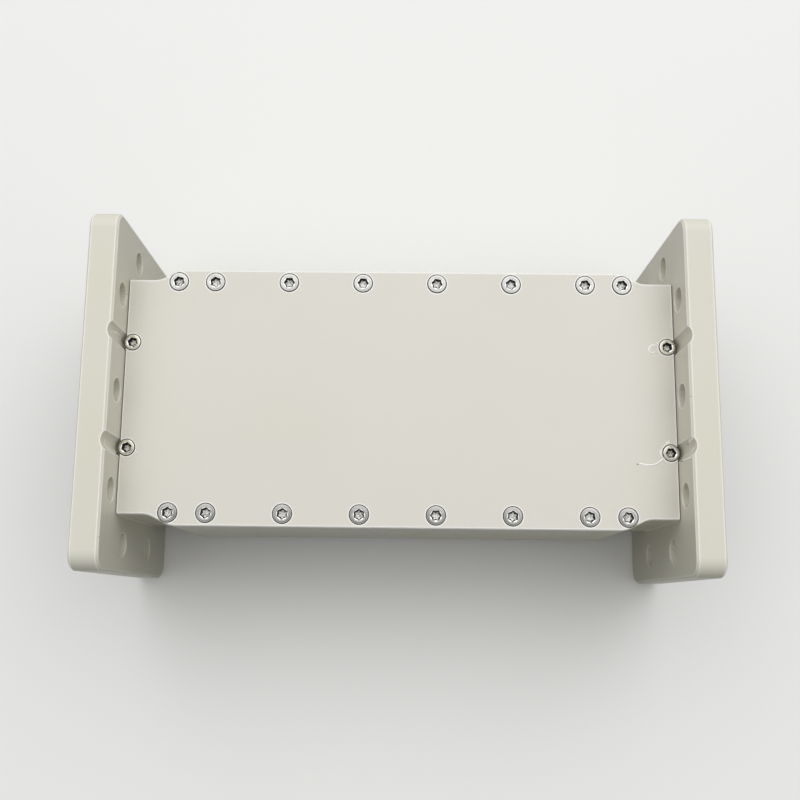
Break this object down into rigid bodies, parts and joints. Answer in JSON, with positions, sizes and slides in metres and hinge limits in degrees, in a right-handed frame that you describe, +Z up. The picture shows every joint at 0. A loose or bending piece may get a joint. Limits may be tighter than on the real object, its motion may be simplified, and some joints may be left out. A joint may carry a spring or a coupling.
{
  "type": "waveguide bandpass filter",
  "caption": "Waveguide bandpass filter: milled cavity body with a rectangular port flange at each end, a flat screwed cover and locked tuning screws in its floor.",
  "frame": {"origin": "under the middle of the filter, level with the lower edges of the flanges", "axes": "+X along the waveguide, +Y across it, +Z up through the cover"},
  "size_m": [0.17, 0.0984, 0.0698],
  "materials": {
    "body_enamel": "off-white sprayed enamel, satin; bare plated metal in the guide and on the port faces",
    "cover_enamel": "off-white sprayed enamel, satin",
    "stainless_screws": "bright stainless steel, tumbled",
    "brass_screws": "turned brass",
    "steel_nuts": "stainless steel, machined flats"
  },
  "bodies": {
    "root": {"body": "body_enamel", "cover": "cover_enamel", "cover_screw_front_1": "stainless_screws", "cover_screw_front_2": "stainless_screws", "cover_screw_front_3": "stainless_screws", "cover_screw_front_4": "stainless_screws", "cover_screw_front_5": "stainless_screws", "cover_screw_front_6": "stainless_screws", "cover_screw_front_7": "stainless_screws", "cover_screw_front_8": "stainless_screws", "cover_screw_rear_1": "stainless_screws", "cover_screw_rear_2": "stainless_screws", "cover_screw_rear_3": "stainless_screws", "cover_screw_rear_4": "stainless_screws", "cover_screw_rear_5": "stainless_screws", "cover_screw_rear_6": "stainless_screws", "cover_screw_rear_7": "stainless_screws", "cover_screw_rear_8": "stainless_screws", "end_screw_left_1": "stainless_screws", "end_screw_left_2": "stainless_screws", "end_screw_right_1": "stainless_screws", "end_screw_right_2": "stainless_screws", "tuning_screw_1": "brass_screws", "tuning_nut_1": "steel_nuts", "tuning_screw_2": "brass_screws", "tuning_nut_2": "steel_nuts", "tuning_screw_3": "brass_screws", "tuning_nut_3": "steel_nuts", "tuning_screw_4": "brass_screws", "tuning_nut_4": "steel_nuts", "coupling_screw_1": "brass_screws", "coupling_nut_1": "steel_nuts", "coupling_screw_2": "brass_screws", "coupling_nut_2": "steel_nuts", "coupling_screw_3": "brass_screws", "coupling_nut_3": "steel_nuts"}
  },
  "joints": []
}
